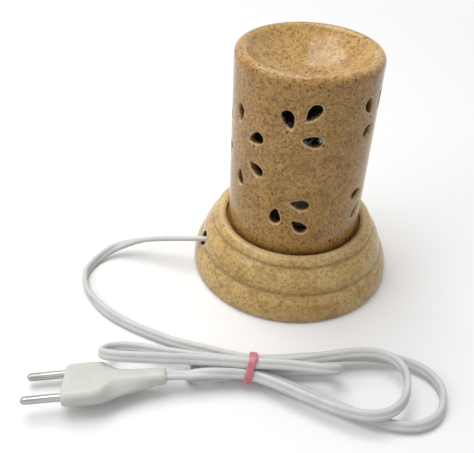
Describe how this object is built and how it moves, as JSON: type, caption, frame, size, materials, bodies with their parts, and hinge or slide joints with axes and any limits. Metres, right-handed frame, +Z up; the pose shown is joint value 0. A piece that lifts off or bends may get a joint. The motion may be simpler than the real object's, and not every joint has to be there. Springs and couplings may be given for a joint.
{
  "type": "electric oil burner",
  "caption": "Electric aroma oil burner: pierced speckled stoneware shade with an oil dish in its top, standing on a tiered hollow base, with lamp inside and a tied flat cord with plug.",
  "frame": {"origin": "middle of the base's foot, on the surface that the burner stands on", "axes": "+Z up along the axis of the shade, -Y towards the front where the petals of the picture show, -X towards the cord hole"},
  "size_m": [0.212, 0.2036, 0.1403],
  "materials": {
    "stoneware": "glossy speckled tan glaze",
    "board": "matt brown board",
    "fibre": "red vulcanised fibre",
    "plated_steel": "bright plated",
    "holder_plastic": "moulded, heat resistant",
    "phenolic": "moulded phenolic",
    "brass": "pressed sheet",
    "black_glass": "fused black glass",
    "lamp_glass": "clear blown glass",
    "tungsten": "drawn wire",
    "white_flex": "soft satin PVC",
    "nylon": "natural nylon",
    "live_core": "brown PVC",
    "neutral_core": "blue PVC",
    "plug_plastic": "moulded off-white PVC",
    "pink_rubber": "matt rubber"
  },
  "bodies": {
    "base": {"ceramic_base": "stoneware", "bottom_board": "board", "upper_washer": "fibre", "lower_washer": "plated_steel", "nipple_nut": "plated_steel", "nipple": "plated_steel", "holder_cup": "holder_plastic", "holder_core": "phenolic", "holder_shell": "brass", "contact_spring": "brass", "terminal_live": "brass", "terminal_neutral": "brass", "terminal_screw_live": "plated_steel", "terminal_screw_neutral": "plated_steel", "cord_lead": "white_flex", "cord_hank": "white_flex", "cord_inner": "white_flex", "cord_stop": "nylon", "core_live": "live_core", "core_neutral": "neutral_core", "plug_body": "plug_plastic", "plug_pin_1": "plated_steel", "plug_pin_2": "plated_steel", "hank_band": "pink_rubber"},
    "shade": {"ceramic_shade": "stoneware"},
    "lamp_tip": {"lamp_contact": "plated_steel"},
    "lamp": {"lamp_insulator": "black_glass", "lamp_cap": "brass", "lamp_glass": "lamp_glass", "lamp_stem": "lamp_glass", "lamp_filament": "tungsten"}
  },
  "joints": [
    {"name": "shade_lift", "type": "slide", "parent": "base", "child": "shade", "axis": [0, 0, 1], "range_m": [0, 0.075]},
    {"name": "lamp_rise", "type": "slide", "parent": "base", "child": "lamp_tip", "axis": [0, 0, 1], "range_m": [0, 0.014]},
    {"name": "lamp_turn", "type": "hinge", "parent": "lamp_tip", "child": "lamp", "pos_m": [0, 0, 0.0538], "axis": [0, 0, 1], "range_deg": [0, 1830]}
  ],
  "couplings": [
    {"joint": "lamp_turn", "follows": "lamp_rise", "rad_per_m": 2244}
  ]
}
